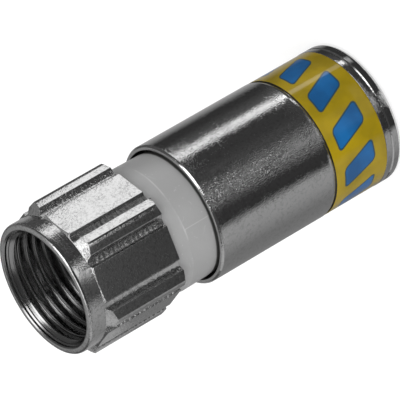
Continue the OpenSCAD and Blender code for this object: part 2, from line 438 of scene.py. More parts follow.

# %% [markdown]
# ## The plastic of the body
# The ring between nut and sleeve is uncoloured acetal: greyish white, a little waxy, and slightly
# see-through at thin places. Subsurface scattering gives the wax. Below the crease it has a fine parting
# line from the mould, drawn where the angle round the axis matches the line's. A painted highlight runs
# along the crease, broken up in places, there are a few pale scuffs, and a painted shade darkens the plastic
# where it goes into the sleeve. Each pale mark is a share of the pale colour, and MAXIMUM keeps the strongest
# one, so marks that cross don't add up.

# %% Acetal
acetal_colour, acetal_pale = (0.39, 0.39, 0.39, 1), (0.56, 0.56, 0.56, 1)
# Painted shade: a near-black colour for the plastic in the narrow gap where it goes into the sleeve.
crevice_shade_colour = (0.05, 0.05, 0.048, 1)
crease_z, body_r = nut_base - 1.40, 5.2
parting_angle = camera_azimuth + radians(-14.9)
parting_width, parting_deep = 0.05, 0.01
speck_pale, crease_highlight, parting_pale, cloud_pale = 0.9, 0.75, 0.55, 0.16
crevice_shade_low, crevice_shade_high, grit_deep = 0.02, 0.12, 0.002

body_acetal, shader, where = new_material("body_acetal")
z = split(where)[2] / MM
across = abs((angle_of(where) - parting_angle) * body_r)
below_crease = spread(z, crease_z - 0.02, crease_z + 0.10, 1.0, 0.0)
parting = spread(across, parting_width / 2, parting_width, 1.0, 0.0) * below_crease
worn = place_group(handling, {"Vector": where, "Speck size": 0.22, "Scratch size": 1.4})
wax = noise(where, 260.0, 4.0, 0.6)
# Painted highlight: a pale line along the crease, broken up by the wax noise.
crease = spread(abs(z - crease_z), 0.02, 0.09, crease_highlight, 0.0) * spread(wax, 0.47, 0.64)
pale = worn["Specks"] * speck_pale
for mark in (worn["Scratches"], crease, parting * parting_pale):
    pale = calc("MAXIMUM", pale, mark)
pale = pale + spread(wax, 0.3, 0.7, 0.0, cloud_pale, smooth=False)
# Painted shade: the plastic goes near-black from just in front of the sleeve's front edge inwards, up to a
# height that noise makes uneven.
crevice_shade_top = spread(wax, 0.3, 0.7, sleeve_front + crevice_shade_low, sleeve_front + crevice_shade_high, smooth=False)
crevice_shade = spread(z - crevice_shade_top, -0.06, 0.10, 1.0, 0.0)
grit = place_group(grain, {"Vector": where, "Pebble": 0.3})
set_height(shader, grit["Height"] * grit_deep + parting * parting_deep)
feed(
    shader,
    {
        "Base Color": blend_colour(crevice_shade, blend_colour(pale, acetal_colour, acetal_pale), crevice_shade_colour),
        "Roughness": spread(wax, 0.3, 0.7, 0.27, 0.40),
        "Subsurface Weight": 0.25,
        "Subsurface Radius": (1.0, 1.0, 0.95),
        "Subsurface Scale": 0.5 * MM,
        "IOR": 1.48,
    },
)

# %% [markdown]
# ## The colour band
# A yellow film lies in a shallow seat round the sleeve, with blue shapes printed on it. They are plain
# slanted blocks. The pattern is worked out from the angle round the axis and the height: FRACT repeats one
# block round the band, and the distance to a rounded box gives its edge, where the ink is a little darker.
# The count is a whole number, so the pattern closes on itself. A texture painted by hand would need a seam.

# %% Pattern of slanted blocks
block_count = 11
block_wide, block_long, block_corner = 1.75, 3.0, 0.35
block_slant = 0.42
ink_edge = 0.10

blocks, given, result = new_group(
    "band_blocks",
    [("Vector", VECTOR, None), ("Radius", FLOAT, 5.8), ("Middle", FLOAT, 4.0), ("Slant", FLOAT, 0.4)],
    [("Ink", FLOAT), ("Edge", FLOAT)],
)
height = split(given["Vector"])[2] / MM - given["Middle"]
turn = (angle_of(given["Vector"]) + height * given["Slant"] / given["Radius"]) * (block_count / (2 * pi))
sideways = (calc("FRACT", turn) - 0.5) * given["Radius"] * (2 * pi / block_count)
past_side = abs(sideways) - (block_wide / 2 - block_corner)
past_end = abs(height) - (block_long / 2 - block_corner)
away = length(calc("MAXIMUM", past_side, 0.0), calc("MAXIMUM", past_end, 0.0))
distance = away + calc("MINIMUM", calc("MAXIMUM", past_side, past_end), 0.0) - block_corner
ink = spread(distance, -0.02, 0.02, 1.0, 0.0)
feed(result, {"Ink": ink, "Edge": spread(abs(distance), ink_edge * 0.4, ink_edge, 1.0, 0.0)})

# %% Film with blue print
film_yellow, film_deep = (0.43, 0.30, 0.004, 1), (0.30, 0.215, 0.004, 1)
ink_blue, ink_deep, ink_rim = (0.010, 0.15, 0.42, 1), (0.008, 0.09, 0.26, 1), (0.010, 0.055, 0.075, 1)
film_cut = (0.03, 0.028, 0.02, 1)
print_middle = (band_low + band_high) / 2 + 0.15
ripple_deep, ink_high = 0.007, 0.003
edge_from, edge_to = band_r - 0.035, band_r - 0.01

band_film, shader, where = new_material("band_film")
sockets = {"Vector": where, "Radius": band_r, "Middle": print_middle, "Slant": block_slant}
pattern = place_group(blocks, sockets)
worn = place_group(handling, {"Vector": where, "Speck size": 0.3, "Scratch size": 1.8})
fade = noise(where, 330.0, 3.0)
yellow = blend_colour(spread(fade, 0.35, 0.7), film_yellow, film_deep)
blue = blend_colour(spread(fade, 0.35, 0.65, smooth=False), ink_blue, ink_deep)
printed = blend_colour(pattern["Edge"] * 0.85, blend_colour(pattern["Ink"], yellow, blue), ink_rim)
cut_edge = spread(radius_of(where), edge_from * MM, edge_to * MM, 1.0, 0.0)
set_height(shader, noise(where, 700.0) * ripple_deep + pattern["Ink"] * ink_high)
feed(
    shader,
    {
        "Base Color": blend_colour(cut_edge, printed, film_cut),
        "Roughness": worn["Scratches"] * 0.2 + 0.30,
        "Specular IOR Level": 0.15,
        "Coat Weight": 0.8,
        "Coat Roughness": 0.06,
    },
)

# %% [markdown]
# ## Rubber of the seal ring
# The ring is closed in between the nut and the body, so it shows only in a section. It still gets a dull
# black rubber with a bloom of fine grey dust, because the part may be taken to pieces.

# %% Seal rubber
rubber_black, rubber_bloom = (0.012, 0.012, 0.013, 1), (0.045, 0.045, 0.047, 1)
seal_rubber, shader, where = new_material("seal_rubber")
dust = place_group(grain, {"Vector": where, "Pebble": 0.12})
bloomed = blend_colour(dust["Patch"] * 0.5, rubber_black, rubber_bloom)
feed(shader, {"Base Color": bloomed, "Roughness": spread(dust["Height"], 0.3, 0.7, 0.55, 0.75)})
set_height(shader, dust["Height"], unit=0.01, strength=0.4)

# %% [markdown]
# ## Outlines with eased edges
# No turned or moulded edge is truly sharp, and the thin bright line along an eased edge is what makes metal
# look like metal. An outline is a list of corners in millimetres, each with its own easing radius, and
# `eased` puts an arc at each corner. A Bevel modifier could do this later, but here every edge has its own
# size.

# %% Ease the corners of an outline
arc_points = 4
nearly_straight = radians(89.9)


def eased(corners):
    """Turns (x, y, easing) corners of a closed outline into points, with a short arc at eased corners."""
    points = []
    for i, (x, y, easing) in enumerate(corners):
        here = Vector((x, y))
        back = Vector(corners[i - 1][:2]) - here
        ahead = Vector(corners[(i + 1) % len(corners)][:2]) - here
        room = 0.45 * min(back.length, ahead.length)
        back, ahead = back.normalized(), ahead.normalized()
        half = acos(max(-1.0, min(1.0, back.dot(ahead)))) / 2
        cut = 0.0 if half > nearly_straight else min(easing / tan(half), room)
        if cut < 1e-6:
            points += [here] * (1 if easing <= 0 else arc_points + 1)
            continue
        middle = here + (back + ahead).normalized() * (cut / cos(half))
        first, last = here + back * cut, here + ahead * cut
        start = atan2(*(first - middle).yx)
        sweep = (atan2(*(last - middle).yx) - start + pi) % (2 * pi) - pi
        size = (first - middle).length
        for k in range(arc_points + 1):
            a = start + sweep * k / arc_points
            points.append(middle + size * Vector((cos(a), sin(a))))
    return points


print("an eased square has", len(eased([(0, 0, 0.1), (1, 0, 0.1), (1, 1, 0.1), (0, 1, 0.1)])), "points")

# %% [markdown]
# ## Turning an outline on the lathe
# A turned piece is its outline carried round the axis. The Screw modifier would do it, but making the rings
# in code keeps the faces as clean quads in a known order. Every face is smooth, and a Weighted Normal
# modifier then lets the large faces set the shading, so that only the eased edges look round. The modifier
# is turned into plain normals.

# %% Meshes and plain copies


def mesh_object(name, points, faces):
    """A new object from points in millimetres and faces."""
    mesh = bpy.data.meshes.new(name)
    mesh.from_pydata([[c * MM for c in p] for p in points], [], faces)
    return place(name, mesh)


def write_numbers(piece, name, numbers):
    """Gives a mesh an attribute with one number at each point."""
    piece.data.attributes.new(name, "FLOAT", "POINT").data.foreach_set("value", numbers)


def plain_copy(source, name):
    """The evaluated mesh of an object as a new object without modifiers; the source is removed."""
    depsgraph = bpy.context.evaluated_depsgraph_get()
    evaluated = source.evaluated_get(depsgraph)
    mesh = bpy.data.meshes.new_from_object(evaluated, preserve_all_data_layers=True, depsgraph=depsgraph)
    mesh.name = name
    bpy.data.objects.remove(source)
    return place(name, mesh)


print("mesh helpers ready")

# %% Merge, turn outwards and shade
merge_distance = 1e-7


def merge_doubles(piece, distance=merge_distance, outwards=True):
    """Merges points that are closer than a distance in metres, and turns every face outwards."""
    shape = bmesh.new()
    shape.from_mesh(piece.data)
    bmesh.ops.remove_doubles(shape, verts=shape.verts, dist=distance)
    if outwards:
        bmesh.ops.recalc_face_normals(shape, faces=shape.faces)
    shape.to_mesh(piece.data)
    shape.free()


def settle(piece, name):
    """A closed plain copy of a piece, smooth, with normals that follow the large faces."""
    merge_doubles(piece)
    piece.data.shade_smooth()
    keep = piece.modifiers.new("normals", "WEIGHTED_NORMAL")
    keep.weight = 80
    bpy.context.view_layer.update()
    piece = plain_copy(piece, name)
    print(f"{name}: {len(piece.data.polygons)} faces")
    return piece


def give(piece, material):
    """Makes a material the only one of a piece."""
    piece.data.materials.clear()
    piece.data.materials.append(material)


print("points closer than", merge_distance, "m are merged")

# %% Turn a piece and fit it on
turned_steps = 256


def turned(name, corners, material):
    """Turns a closed outline of (radius, height, easing) corners round the axis."""
    outline = eased(corners)
    angles = [2 * pi * k / turned_steps for k in range(turned_steps)]
    points = [(p.x * cos(a), p.x * sin(a), p.y) for p in outline for a in angles]
    faces = []
    for i in range(len(outline)):
        this_ring, next_ring = i * turned_steps, (i + 1) % len(outline) * turned_steps
        for j in range(turned_steps):
            k = (j + 1) % turned_steps
            faces.append((this_ring + j, this_ring + k, next_ring + k, next_ring + j))
    piece = settle(mesh_object(name + "_raw", points, faces), name)
    give(piece, material)
    return piece


def fit_on(piece, body, node):
    """The piece rides on a body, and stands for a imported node."""
    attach(piece, body)
    if node:
        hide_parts(node)


print("turned pieces have", turned_steps, "steps")

# %% [markdown]
# ## The sleeve
# The sleeve is a tube turned from brass. Its rear rim is well rounded and has a thin ring groove; in front
# of that lies the shallow seat for the band, which ends in a bevel. Inside, a ramp narrows the bore to the
# cable hole: it squeezes the body onto the cable when the sleeve is pressed home.

# %% Turn the sleeve
sleeve_bore, bore_flare = 5.40, 0.06
cable_hole, hole_chamfer = 4.10, 0.3
ramp_from, ramp_to = 4.2, 7.4
seat_r = sleeve_r - 0.14
seat_low, seat_high = 1.54, 6.72
bevel_high, bevel_deep = 7.02, 0.09
ring_low, ring_wide, ring_deep = 0.83, 0.20, 0.10
front_bevel = 0.15

sleeve = turned(
    "sleeve_tube",
    [
        (cable_hole, sleeve_rear + hole_chamfer, 0.05),
        (cable_hole + hole_chamfer, sleeve_rear, 0.05),
        (sleeve_r, sleeve_rear, 0.40),
        (sleeve_r, ring_low, 0.015),
        (sleeve_r - ring_deep, ring_low + ring_wide / 2, 0.02),
        (sleeve_r, ring_low + ring_wide, 0.015),
        (sleeve_r, seat_low, 0.03),
        (seat_r, seat_low, 0.02),
        (seat_r, seat_high, 0.02),
        (sleeve_r - bevel_deep, seat_high, 0.015),
        (sleeve_r, bevel_high, 0.04),
        (sleeve_r, sleeve_front - front_bevel, 0.10),
        (sleeve_r - front_bevel, sleeve_front, 0.06),
        (sleeve_bore + bore_flare, sleeve_front, 0.02),
        (sleeve_bore, sleeve_front - 2 * bore_flare, 0.02),
        (sleeve_bore, ramp_to, 0.2),
        (cable_hole, ramp_from, 0.2),
    ],
    sleeve_nickel,
)
fit_on(sleeve, "sleeve", "compression_sleeve")

# %% [markdown]
# ## The band
# The film is a very thin tube, a hair below the sleeve's surface, with its edges just eased. It moves with
# the sleeve.

# %% Turn the band
film_inner = seat_r + 0.01
film_top = band_high - 0.05
band = turned(
    "colour_band",
    [
        (film_inner, band_low, 0.01),
        (band_r, band_low, 0.02),
        (band_r, film_top, 0.02),
        (film_inner, film_top, 0.01),
    ],
    band_film,
)
fit_on(band, "sleeve", "sleeve_band")

# %% [markdown]
# ## The clamp body
# The body is one turned-looking moulding. What shows is the ring behind the nut, the taper to a soft crease
# and the neck that enters the sleeve. Hidden inside are a guide rib, the thin collet and four rows of teeth
# that grip the jacket. The teeth repeat, so they come from a loop.

# %% Turn the clamp body
shoulder_z = nut_base - 0.12
hub_r, post_seat_r, cavity_r = 3.60, 2.90, 4.05
front_r, crease_r, neck_r, inner_r = 5.12, 5.26, 5.20, 5.10
front_len, crease_back = 0.42, 1.28
cavity_floor, floor_chamfer = shoulder_z - 3.3, 0.6
rib_z, rib_wide, rib_slope = sleeve_front - 1.8, 0.5, 0.1
collet_r, collet_back = 4.35, 10.21
tooth_rows, tooth_pitch, tooth_deep, tooth_steep = 4, 0.55, 0.16, 0.16

teeth = []
for i in range(tooth_rows, 0, -1):
    z = body_end + i * tooth_pitch
    teeth += [
        (cavity_r, z + tooth_steep, 0),
        (cavity_r - tooth_deep, z, 0),
        (cavity_r, z + tooth_steep - tooth_pitch, 0),
    ]
teeth[-1] = (cavity_r, body_end + tooth_steep, 0)

body = turned(
    "body_moulding",
    [
        (cavity_r, body_end, 0.03),
        (collet_r, body_end, 0.05),
        (inner_r, collet_back, 0.2),
        (inner_r, rib_z - rib_wide, 0.03),
        (rib_r, rib_z - rib_wide + rib_slope, 0.02),
        (rib_r, rib_z - rib_slope, 0.02),
        (inner_r, rib_z, 0.03),
        (neck_r, sleeve_front, 0),
        (crease_r, shoulder_z - crease_back, 0.12),
        (front_r, shoulder_z - front_len, 0.08),
        (front_r, shoulder_z, 0.14),
        (hub_r, shoulder_z, 0.05),
        (hub_r, hub_top, 0.05),
        (post_seat_r, hub_top, 0),
        (post_seat_r, cavity_floor, 0),
        (cavity_r - floor_chamfer, cavity_floor, 0),
        (cavity_r, cavity_floor - floor_chamfer, 0),
        *teeth,
    ],
    body_acetal,
)
fit_on(body, "core", "clamp_body")

# %% [markdown]
# ## The post and the seal ring
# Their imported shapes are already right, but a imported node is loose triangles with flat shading. A copy of
# the mesh, with its points merged and its sharp edges marked by angle, shades like a turned piece and stays
# exactly in place.

# %% Smooth copies of the inner pieces
packed_gap = 1e-6
sharp_from = radians(30)


def smooth_copy(node, name, material):
    """A merged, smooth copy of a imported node, whose faces already point outwards."""
    piece = place(name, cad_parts[node].data.copy())
    merge_doubles(piece, packed_gap, outwards=False)
    piece.data.shade_smooth()
    piece.data.set_sharp_from_angle(angle=sharp_from)
    give(piece, material)
    print(f"{name}: {len(piece.data.polygons)} faces")
    return piece


fit_on(smooth_copy("inner_post", "post_tube", post_nickel), "core", "inner_post")
fit_on(smooth_copy("seal_ring", "seal_round", seal_rubber), "core", "seal_ring")

# %% [markdown]
# ## One side of the nut
# The nut is six equal sides round one axis. Each side is a wide flat with a long groove at each edge and a
# narrow flat out to the blunted corner, which on one side is worn a little lower. The two grooves aren't
# alike: one has a tilted floor, the other a nearly level one, and both have a steep wall. The side is built
# as a sheet of columns: every column stands at one angle and runs from the rear face, over the rear
# chamfer, along the side, down the front chamfer, over the collar and back through the stepped mouth and
# the bore. Because each column meets the two cones at its own height, the curved ends of the flats come out
# by themselves, as they do when a real hexagon bar is turned.

# %% Outline of one side
wide_half = 1.39
tilted_groove = ((-2.26, 0.0, 0.03), (-2.215, 0.06, 0.0), (-1.965, 0.40, 0.04), (-1.515, 0.26, 0.04))
level_groove = ((1.405, 0.05, 0.0), (1.47, 0.29, 0.04), (1.93, 0.34, 0.04), (2.33, 0.0, 0.10))
worn_from, worn_deep = 2.90, 0.024
column_gap = 0.34
flat_ease, tip_ease = 0.03, 0.05
half_side = radians(30)
tip_t = sqrt(nut_tip_r**2 - flat_r**2)


def side_columns():
    """(x, y) along one side, from one corner's middle to the next."""
    corner = (nut_tip_r * cos(half_side), nut_tip_r * sin(half_side))
    line = [(corner[0], -corner[1], 0.0), (flat_r, -tip_t, tip_ease)]
    line += [(flat_r - deep, y, ease) for y, deep, ease in tilted_groove]
    line += [(flat_r, -wide_half, flat_ease), (flat_r, wide_half, flat_ease)]
    line += [(flat_r - deep, y, ease) for y, deep, ease in level_groove]
    line += [(flat_r, worn_from, 0.03), (flat_r - worn_deep, tip_t, 0.02), (*corner, 0.0)]
    on_axis = (0.0, 0.0, 0.0)
    points = eased([*line, on_axis])[:-1]
    dense = [points[0]]
    for p in points[1:]:
        base = dense[-1].copy()
        pieces = max(1, round((p - base).length / column_gap))
        dense += [base.lerp(p, k / pieces) for k in range(1, pieces + 1)]
    return [(p.x, p.y) for p in dense]


columns = side_columns()
print("one side has", len(columns), "columns")

# %% Outline of one column
collar_r, collar_z = 5.42, mouth_z - 1.44
collar_round = 0.25
cone_slope = tan(radians(60))
rear_chamfer, least_chamfer = 0.19, 0.03
rear_r = nut_tip_r - rear_chamfer * cone_slope
mouth_r, thread_r = 4.92, 4.7625
lead_in = (
    (4.83, 0.10), (4.83, 0.26), (4.725, 0.365), (4.725, 0.43),
    (4.60, 0.61), (4.50, 0.71), (4.50, 0.78), (thread_r, 1.0),
)
thread_end, relief_slope = mouth_z - 5.4, 0.19
relief_r = 4.9525
lip_r, lip_low, lip_high = 3.66, 22.65, 23.45
seal_seat_r = 4.60
nearly = 0.004


def column_outline(r):
    """Outline of the nut at a place where its side is r from the axis."""
    rear_z = nut_base + max((r - rear_r) / cone_slope, least_chamfer)
    front_z = min(collar_z - (r - collar_r) / cone_slope, collar_z)
    step_r = collar_r if abs(r - collar_r) > nearly else collar_r + nearly
    return eased(
        [
            (seal_seat_r, nut_base, 0.03),
            (min(r, rear_r), nut_base, 0.02),
            (r, rear_z, 0.03),
            (r, front_z, 0.035),
            (step_r, collar_z, 0.02),
            (collar_r, mouth_z - 2 * collar_round, 0),
            (collar_r, mouth_z, collar_round),
            (mouth_r, mouth_z, 0.02),
            *((lead_r, mouth_z - deep, 0.015) for lead_r, deep in lead_in),
            (thread_r, thread_end, 0.03),
            (relief_r, thread_end - relief_slope, 0.03),
            (relief_r, lip_high, 0.03),
            (lip_r, lip_high, 0.05),
            (lip_r, lip_low, 0.05),
            (seal_seat_r, lip_low, 0.03),
        ]
    )


print("the outline at a flat has", len(column_outline(flat_r)), "points")

# %% [markdown]
# ### Nicks from the cutter
# The cutter leaves a row of nicks in the steep walls of the grooves, about half a millimetre apart and each
# of its own depth. They are real relief, because they break the bright line along the wall. Every column
# has four points for each nick, and in the marked strips they are pushed sideways and a little inwards. The
# draws are seeded, so every run gives the same nut.

# %% Nicks in the groove walls
notch_pitch, notch_deep = 0.47, 0.12
notch_mouth, notch_floor = 0.12, 0.03
first_notch, notch_margin = 0.36, 0.3
notch_inwards = 0.4
slack = 0.005
tilted_wall, tilted_far, tilted_near = (y for y, deep, ease in tilted_groove[1:])
level_wall, level_near, level_end = (level_groove[i][0] for i in (0, 1, 3))
chance = Random(11)

notches = []
for k in range(int((collar_z - nut_base - notch_margin) / notch_pitch)):
    middle = nut_base + first_notch + (k + chance.uniform(-0.1, 0.1)) * notch_pitch
    depth = notch_deep * chance.uniform(0.45, 1.0)
    notches += [(middle - notch_mouth, 0), (middle - notch_floor, depth)]
    notches += [(middle + notch_floor, depth), (middle + notch_mouth, 0)]


def cutter_share(y):
    """How strongly the cutter has marked a column, from 0 to 1, by its place across the side."""
    if tilted_wall - slack < y < tilted_near:
        return 0.05 if y > tilted_far else 0.9
    return 0.9 if level_wall - slack < y < level_end - 0.12 else 0.0


def wall_nick(y):
    """How far the nicks move a column sideways, from 0 to 1; the groove's edge itself stays straight."""
    if tilted_wall + 0.09 < y < tilted_far + 0.035:
        return 0.8
    return 1.0 if level_wall - slack < y < level_near - 0.03 else 0.0


print(len(notches) // 4, "nicks in each wall")

# %% Sheet of one side
corner_points = arc_points + 1
side_start = 3 * corner_points
turned_from = collar_z - 0.02

vertices, marked, lathed, faces = [], [], [], []
for x, y in columns:
    angle = atan2(y, x)
    outline = column_outline(hypot(x, y))
    low, high = outline[side_start - 1].y, outline[side_start].y
    cut, nick = cutter_share(y), wall_nick(y)
    steps, angles = [], []
    for z, depth in notches:
        share = (z - nut_base) / (collar_z - nut_base)
        step_x, step_y = x - depth * notch_inwards * cut, y - depth * nick
        steps.append(Vector((hypot(step_x, step_y), low + (high - low) * share)))
        angles.append(atan2(step_y, step_x))
    outline[side_start:side_start] = steps
    side_end = side_start + len(steps)
    rows = len(outline)
    angles = [angle] * side_start + angles + [angle] * (rows - side_end)
    vertices += [(p.x * cos(a), p.x * sin(a), p.y) for p, a in zip(outline, angles)]
    marked += [cut if corner_points < i < side_end + corner_points else 0.0 for i in range(rows)]
    lathed += [1.0 if p.y > turned_from else 0.0 for p in outline]
for j in range(len(columns) - 1):
    for i in range(rows):
        n = (i + 1) % rows
        faces.append((j * rows + i, (j + 1) * rows + i, (j + 1) * rows + n, j * rows + n))

side = mesh_object("nut_side", vertices, faces)
write_numbers(side, "groove", marked)
write_numbers(side, "turned", lathed)
print("one side:", len(faces), "faces")

# %% [markdown]
# ## Six sides by Geometry Nodes
# A small Geometry Nodes tree repeats the side: one point for each side, an instance of the sheet on each
# point, turned by its share of a full turn, then real geometry and a merge along the seams. The number of
# sides is an input of the tree. An Array modifier with an empty would do the same, but it leaves an extra
# object behind.

# %% Tree that repeats the side
GEOMETRY, MATERIAL = "NodeSocketGeometry", "NodeSocketMaterial"
repeat, given, result = new_group(
    "repeat_sides",
    [("Geometry", GEOMETRY, None), ("Sides", "NodeSocketInt", 6), ("Finish", MATERIAL, None)],
    [("Geometry", GEOMETRY)],
    kind="GeometryNodeTree",
)
repeat.is_modifier = True
seats = wire(repeat, "GeometryNodePoints", {"Count": given["Sides"]})
turn = wire(repeat, "GeometryNodeInputIndex") / given["Sides"] * (2 * pi)
rotation = wire(repeat, "ShaderNodeCombineXYZ", {2: turn})
spots = {"Points": seats, "Instance": given["Geometry"], "Rotation": rotation}
copies = wire(repeat, "GeometryNodeInstanceOnPoints", spots)
real = wire(repeat, "GeometryNodeRealizeInstances", {"Geometry": copies})
joined = wire(repeat, "GeometryNodeMergeByDistance", {"Geometry": real, "Distance": 0.002 * MM})
finished = wire(repeat, "GeometryNodeSetMaterial", {"Geometry": joined, "Material": given["Finish"]})
feed(result, {"Geometry": finished})

# %% Repeat the side


def run_tree(piece, tree, values):
    """Adds a Geometry Nodes modifier and sets its inputs by their identifiers."""
    modifier = piece.modifiers.new(tree.name, "NODES")
    modifier.node_group = tree
    for item in tree.interface.items_tree:
        if item.item_type == "SOCKET" and item.in_out == "INPUT" and item.name in values:
            modifier[item.identifier] = values[item.name]
    bpy.context.view_layer.update()


run_tree(side, repeat, {"Sides": 6, "Finish": nut_nickel})
nut = settle(plain_copy(side, "nut_raw"), "nut_shell")
fit_on(nut, "nut", "coupling_nut")

# %% [markdown]
# ## The thread
# The nut's thread is a single ridge that winds up the bore, 32 turns to the inch. Geometry Nodes sweep it:
# a Spiral gives the path at the wall, a trapezium with eased corners gives the section, and Curve to Mesh
# carries one along the other. The section shrinks to nothing at both ends, as the cutter leaves it. Rings
# stacked along the bore would look alike at first, but a thread that doesn't climb is wrong on every second
# look.

# %% Tree for the thread
path_steps, corner_steps, corner_ease = 96, 2, 0.06
thinnest = 0.02
sweep, given, result = new_group(
    "thread_sweep",
    [
        ("Geometry", GEOMETRY, None),
        ("Turns", FLOAT, 6.0),
        ("Pitch", FLOAT, 0.8),
        ("Wall radius", FLOAT, 4.8),
        ("Ridge height", FLOAT, 0.4),
        ("Ridge base", FLOAT, 0.7),
        ("Ridge crest", FLOAT, 0.2),
        ("Crest shift", FLOAT, 0.0),
        ("Start height", FLOAT, 0.0),
        ("Run-out", FLOAT, 0.05),
        ("Finish", MATERIAL, None),
    ],
    [("Geometry", GEOMETRY)],
    kind="GeometryNodeTree",
)
sweep.is_modifier = True
spiral = {
    "Resolution": path_steps,
    "Rotations": given["Turns"],
    "Start Radius": given["Wall radius"],
    "End Radius": given["Wall radius"],
    "Height": given["Turns"] * given["Pitch"],
}
path = wire(sweep, "GeometryNodeCurveSpiral", spiral)
upright = wire(sweep, "GeometryNodeSetCurveNormal", {"Curve": path}, mode="Z_UP")
factor = wire(sweep, "GeometryNodeSplineParameter", None, "Factor")
nearest = calc("MINIMUM", factor, 1.0 - factor)
fade_out = {"Value": nearest, "From Max": given["Run-out"], "To Min": thinnest}
thickness = wire(sweep, "ShaderNodeMapRange", fade_out, "Result")
thinned = wire(sweep, "GeometryNodeSetCurveRadius", {"Curve": upright, "Radius": thickness})
trapezium = {
    "Height": given["Ridge height"],
    "Bottom Width": given["Ridge base"],
    "Top Width": given["Ridge crest"],
    "Offset": given["Crest shift"],
}
section = wire(sweep, "GeometryNodeCurvePrimitiveQuadrilateral", trapezium, mode="TRAPEZOID")
rounding = {"Curve": section, "Count": corner_steps, "Radius": corner_ease * MM}
soft = wire(sweep, "GeometryNodeFilletCurve", rounding, mode="POLY")
seated = wire(sweep, "ShaderNodeCombineXYZ", {1: given["Ridge height"] * 0.5})
placed = wire(sweep, "GeometryNodeTransform", {"Geometry": soft, "Translation": seated})
sweeping = {"Curve": thinned, "Profile Curve": placed, "Fill Caps": True}
ridge = wire(sweep, "GeometryNodeCurveToMesh", sweeping)
start = wire(sweep, "ShaderNodeCombineXYZ", {2: given["Start height"]})
raised = wire(sweep, "GeometryNodeTransform", {"Geometry": ridge, "Translation": start})
real = wire(sweep, "GeometryNodeRealizeInstances", {"Geometry": raised})
finished = wire(sweep, "GeometryNodeSetMaterial", {"Geometry": real, "Material": given["Finish"]})
feed(result, {"Geometry": finished})

# %% Cut the thread
thread_pitch = 0.79375
crest_r = 4.37
thread_from, thread_to = 25.53, 29.56
root_grip = 0.03
ridge_base, ridge_crest, crest_shift = 0.74, 0.14, -0.08

thread = place("thread_seed", bpy.data.meshes.new("thread_seed"))
run_tree(
    thread,
    sweep,
    {
        "Turns": (thread_to - thread_from) / thread_pitch,
        "Pitch": thread_pitch * MM,
        "Wall radius": (thread_r + root_grip) * MM,
        "Ridge height": (thread_r + root_grip - crest_r) * MM,
        "Ridge base": ridge_base * MM,
        "Ridge crest": ridge_crest * MM,
        "Crest shift": crest_shift * MM,
        "Start height": thread_from * MM,
        "Run-out": 0.03,
        "Finish": nut_nickel,
    },
)
thread = settle(plain_copy(thread, "nut_thread_raw"), "nut_thread")
fit_on(thread, "nut", None)
radii = [hypot(v.co.x, v.co.y) / MM for v in thread.data.vertices]
print(f"the thread lies from {min(radii):.2f} to {max(radii):.2f} from the axis")

# %% [markdown]
# ## The studio
# The connector stands on a wide pale floor, in an even white world with two large soft lights. A polished
# metal shows little of its own: it shows the room. Seen from above, upright walls mirror the floor in front
# of them, so dark and bright cards lie there, as a photographer lays them out. They are seen only in
# reflections, so the floor stays plain and white in the picture and the light on the plastic does not
# change. The floor keeps a share of real shading, so the object's shadow stays on it.

# %% Floor
white, floor_matt = (1, 1, 1, 1), (0.45, 0.45, 0.45, 1)
floor_half, floor_glow = 1000.0, 0.62


def bare_material(name):
    """A material with an empty tree, and its tree."""
    material = bpy.data.materials.new(name)
    material.use_nodes = True
    material.node_tree.nodes.clear()
    print("material:", name)
    return material, material.node_tree


floor_paint, tree = bare_material("floor_paint")
rays = add(tree, "ShaderNodeLightPath")
seen = calc("MAXIMUM", Signal(rays.outputs["Is Camera Ray"]), Signal(rays.outputs["Is Glossy Ray"]))
seen = calc("MAXIMUM", seen, Signal(rays.outputs["Is Transmission Ray"]))
matt = wire(tree, "ShaderNodeBsdfDiffuse", {"Color": floor_matt})
glow = wire(tree, "ShaderNodeEmission", {"Color": white, "Strength": seen * floor_glow})
add(tree, "ShaderNodeOutputMaterial", {"Surface": wire(tree, "ShaderNodeAddShader", {0: matt, 1: glow})})

corners = [(x * floor_half, y * floor_half, 0) for x, y in ((-1, -1), (1, -1), (1, 1), (-1, 1))]
floor = mesh_object("floor", corners, [(0, 1, 2, 3)])
give(floor, floor_paint)
print("floor", 2 * floor_half * MM, "m across")

# %% Light
world_light = 0.70
aim_height = 15
overhead_height, front_height = 600, 350

world = bpy.data.worlds.new("studio")
world.use_nodes = True
feed(world.node_tree.nodes["Background"], {"Color": white, "Strength": world_light})
bpy.context.scene.world = world


def soft_light(name, stand, size, watts):
    """A square area light, aimed at the connector. Its mirror image is left to the cards."""
    lamp = place(name, bpy.data.lights.new(name, "AREA"))
    lamp.data.size, lamp.data.energy = size * MM, watts
    aim = Vector((0, 0, aim_height)) - stand
    lamp.matrix_world = Matrix.Translation(stand * MM) @ aim.to_track_quat("-Z", "Y").to_matrix().to_4x4()
    lamp.visible_glossy = False
    print("light:", name)


soft_light("overhead", Vector((0, 0, overhead_height)), 500, 1.2)
soft_light("front", toward * 450 - aside * 120 + Vector((0, 0, front_height)), 400, 1.4)

# %% [markdown]
# ## Cards for the reflections
# A wall whose normal stands at an angle to the camera mirrors the floor at twice that angle. One fan of
# card therefore covers one range of wall angles: it starts at the foot of the wall and runs outwards
# between two straight lines, and its brightness is written at each line, so it can fade from grey to dark.
# The higher a place on the connector, the farther out lies the floor that it mirrors, so the fans follow
# each other outwards: the sleeve's rear rim, its bevel, the film, the sleeve, the nut and the collar. Where
# the photographed grain sparkles most, the fans change often between dark and bright, because a pebble
# mirrors its own stripe. A dim dome with a few soft windows closes the room above.

# %% Glowing cards
card_lift = 0.02
fan_step = 3
camera_side = atan2(toward.y, toward.x)

card_glow, tree = bare_material("card_glow")
light = wire(tree, "ShaderNodeEmission", {"Color": white, "Strength": attribute(tree, "level")})
add(tree, "ShaderNodeOutputMaterial", {"Surface": light})


